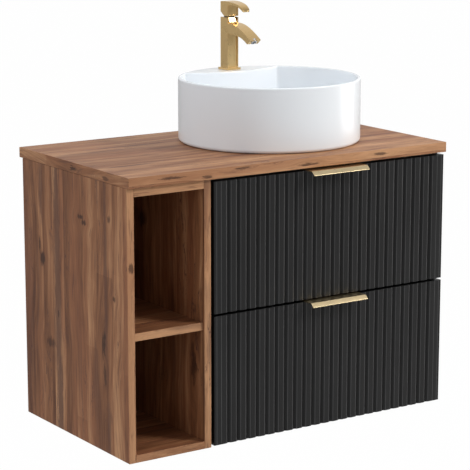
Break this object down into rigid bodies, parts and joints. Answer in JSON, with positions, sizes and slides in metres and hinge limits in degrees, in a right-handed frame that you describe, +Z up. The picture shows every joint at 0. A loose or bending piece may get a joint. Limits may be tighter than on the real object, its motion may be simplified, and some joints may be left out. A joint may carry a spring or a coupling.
{
  "type": "vessel sink on vanity",
  "caption": "Wall-hung bathroom vanity: round vessel basin with a lever tap on a wooden worktop, over fluted drawers and an open shelf.",
  "frame": {"origin": "centre of the wall rail's rear face, where it lies against the wall", "axes": "+X to the right along the front, +Y into the wall, +Z up"},
  "size_m": [0.8, 0.479, 0.8742],
  "materials": {
    "wood_worktop": "satin",
    "wood_cabinet": "satin",
    "matt_black": "matt lacquer",
    "grey_board": "matt laminate",
    "zinc_steel": "zinc plated",
    "white_ceramic": "gloss glaze",
    "brushed_gold": "brushed",
    "white_plastic": "moulded"
  },
  "bodies": {
    "cabinet": {"worktop": "wood_worktop", "shelf_side_left": "wood_cabinet", "shelf_side_right": "wood_cabinet", "shelf_top_board": "wood_cabinet", "shelf_bottom_board": "wood_cabinet", "mid_shelf": "wood_cabinet", "shelf_back_panel": "wood_cabinet", "cabinet_side_left": "matt_black", "cabinet_side_right": "matt_black", "cabinet_bottom_board": "matt_black", "cabinet_front_rail": "grey_board", "cabinet_rear_rail": "grey_board", "cabinet_back_panel": "grey_board", "wall_rail": "zinc_steel", "hanger_left": "zinc_steel", "hanger_right": "zinc_steel", "upper_drawer_runner_fixed_left": "zinc_steel", "upper_drawer_runner_fixed_right": "zinc_steel", "lower_drawer_runner_fixed_left": "zinc_steel", "lower_drawer_runner_fixed_right": "zinc_steel", "tap_stud": "zinc_steel", "tap_nut": "zinc_steel", "tap_aerator": "zinc_steel", "basin": "white_ceramic", "tap_base_plate": "brushed_gold", "tap_body": "brushed_gold", "tap_collar": "brushed_gold", "waste_body": "brushed_gold", "waste_nut": "white_plastic", "trap_body": "white_plastic", "trap_cup": "white_plastic", "trap_outlet": "white_plastic", "wall_rosette": "white_plastic"},
    "upper_drawer": {"upper_drawer_front": "matt_black", "upper_handle": "brushed_gold", "upper_drawer_side_left": "grey_board", "upper_drawer_side_right": "grey_board", "upper_drawer_bottom": "grey_board", "upper_drawer_notch_left": "grey_board", "upper_drawer_notch_right": "grey_board", "upper_drawer_notch_front": "grey_board", "upper_drawer_back_left": "grey_board", "upper_drawer_back_right": "grey_board", "upper_drawer_runner_inner_left": "zinc_steel", "upper_drawer_runner_inner_right": "zinc_steel"},
    "upper_runner_middle": {"upper_drawer_runner_middle_left": "zinc_steel", "upper_drawer_runner_middle_right": "zinc_steel"},
    "lower_drawer": {"lower_drawer_front": "matt_black", "lower_handle": "brushed_gold", "lower_drawer_side_left": "grey_board", "lower_drawer_side_right": "grey_board", "lower_drawer_bottom": "grey_board", "lower_drawer_back": "grey_board", "lower_drawer_runner_inner_left": "zinc_steel", "lower_drawer_runner_inner_right": "zinc_steel"},
    "lower_runner_middle": {"lower_drawer_runner_middle_left": "zinc_steel", "lower_drawer_runner_middle_right": "zinc_steel"},
    "tap_swivel": {"tap_stem": "zinc_steel"},
    "tap_lever": {"tap_lever": "brushed_gold"},
    "waste_plug": {"waste_plug": "brushed_gold"}
  },
  "joints": [
    {"name": "upper_drawer_slide", "type": "slide", "parent": "cabinet", "child": "upper_drawer", "axis": [0, -1, 0], "range_m": [0, 0.35]},
    {"name": "upper_runner_slide", "type": "slide", "parent": "cabinet", "child": "upper_runner_middle", "axis": [0, -1, 0], "range_m": [0, 0.175]},
    {"name": "lower_drawer_slide", "type": "slide", "parent": "cabinet", "child": "lower_drawer", "axis": [0, -1, 0], "range_m": [0, 0.35]},
    {"name": "lower_runner_slide", "type": "slide", "parent": "cabinet", "child": "lower_runner_middle", "axis": [0, -1, 0], "range_m": [0, 0.175]},
    {"name": "tap_turn", "type": "hinge", "parent": "cabinet", "child": "tap_swivel", "pos_m": [0.1, -0.058, 0.334], "axis": [0, 0, 1], "range_deg": [-45, 45]},
    {"name": "tap_lift", "type": "hinge", "parent": "tap_swivel", "child": "tap_lever", "pos_m": [0.1, -0.058, 0.3463], "axis": [-1, 0, 0], "range_deg": [0, 25]},
    {"name": "waste_plug_slide", "type": "slide", "parent": "cabinet", "child": "waste_plug", "axis": [0, 0, 1], "range_m": [-0.007, 0]}
  ],
  "couplings": [
    {"joint": "upper_runner_slide", "follows": "upper_drawer_slide", "ratio": 0.5},
    {"joint": "lower_runner_slide", "follows": "lower_drawer_slide", "ratio": 0.5}
  ]
}
